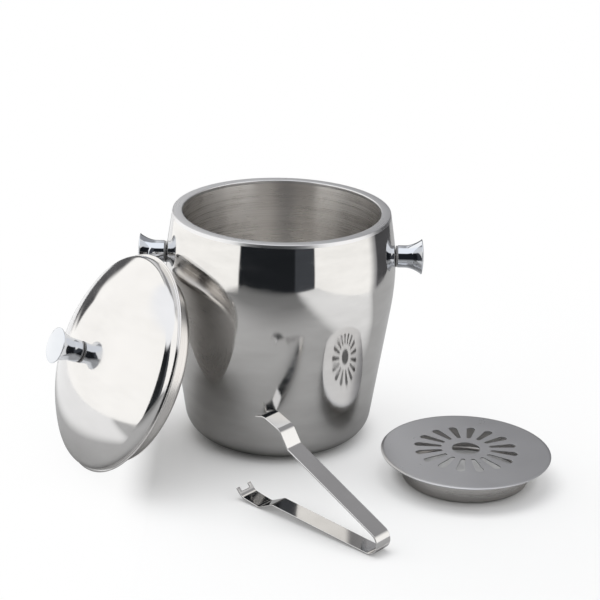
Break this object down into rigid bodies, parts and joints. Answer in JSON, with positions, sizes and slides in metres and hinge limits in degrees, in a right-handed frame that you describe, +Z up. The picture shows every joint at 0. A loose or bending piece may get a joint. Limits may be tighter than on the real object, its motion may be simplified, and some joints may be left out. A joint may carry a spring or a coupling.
{
  "type": "ice bucket",
  "caption": "Round double-wall steel ice bucket with a bulged body and side knobs, a domed lift-off lid, a slotted drainer on a foot ring and sprung strip tongs.",
  "frame": {"origin": "centre of the bucket's flat base, on the surface it stands on", "axes": "+X along the two side knobs, towards the side where the drainer lies; -Y towards the side where the tongs lie; +Z up"},
  "size_m": [0.4289, 0.3428, 0.2046],
  "materials": {
    "polished_steel": "mirror polished stainless steel with fine hairline scratches",
    "brushed_steel": "stainless steel brushed round the axis",
    "satin_steel": "fine satin stainless steel",
    "chrome_knob": "bright chrome plate",
    "zinc_screw": "dull zinc plate",
    "gasket": "matt grey"
  },
  "bodies": {
    "bucket": {"outer_shell": "polished_steel", "inner_liner": "brushed_steel", "rim_ring": "satin_steel", "base_cap": "satin_steel", "right_washer": "gasket", "right_knob": "chrome_knob", "right_screw": "zinc_screw", "left_washer": "gasket", "left_knob": "chrome_knob", "left_screw": "zinc_screw"},
    "lid": {"lid_dome": "polished_steel", "lid_pan": "satin_steel", "lid_washer": "gasket", "lid_knob": "chrome_knob", "lid_screw": "zinc_screw"},
    "drainer": {"drainer_plate": "satin_steel", "drainer_ring": "brushed_steel"},
    "tongs": {"tongs_bow": "polished_steel"},
    "upper_arm": {"tongs_upper_arm": "polished_steel"},
    "lower_arm": {"tongs_lower_arm": "polished_steel"}
  },
  "joints": [
    {"name": "lid_lift", "type": "slide", "parent": "bucket", "child": "lid", "axis": [-0.8123, -0.4211, 0.4035], "range_m": [0, 0.15]},
    {"name": "drainer_lift", "type": "slide", "parent": "bucket", "child": "drainer", "axis": [0, 0, 1], "range_m": [0, 0.12]},
    {"name": "tongs_lift", "type": "slide", "parent": "bucket", "child": "tongs", "axis": [0, 0, 1], "range_m": [0, 0.12]},
    {"name": "lower_arm_squeeze", "type": "hinge", "parent": "tongs", "child": "lower_arm", "pos_m": [0.0772, -0.2297, 0.0102], "axis": [0.6547, 0.7559, 0], "range_deg": [0, 13], "stiffness_Nm_per_rad": 4},
    {"name": "upper_arm_squeeze", "type": "hinge", "parent": "tongs", "child": "upper_arm", "pos_m": [0.0772, -0.2297, 0.0102], "axis": [-0.6547, -0.7559, 0], "range_deg": [0, 13], "stiffness_Nm_per_rad": 4}
  ],
  "couplings": [
    {"joint": "upper_arm_squeeze", "follows": "lower_arm_squeeze", "ratio": 1}
  ]
}
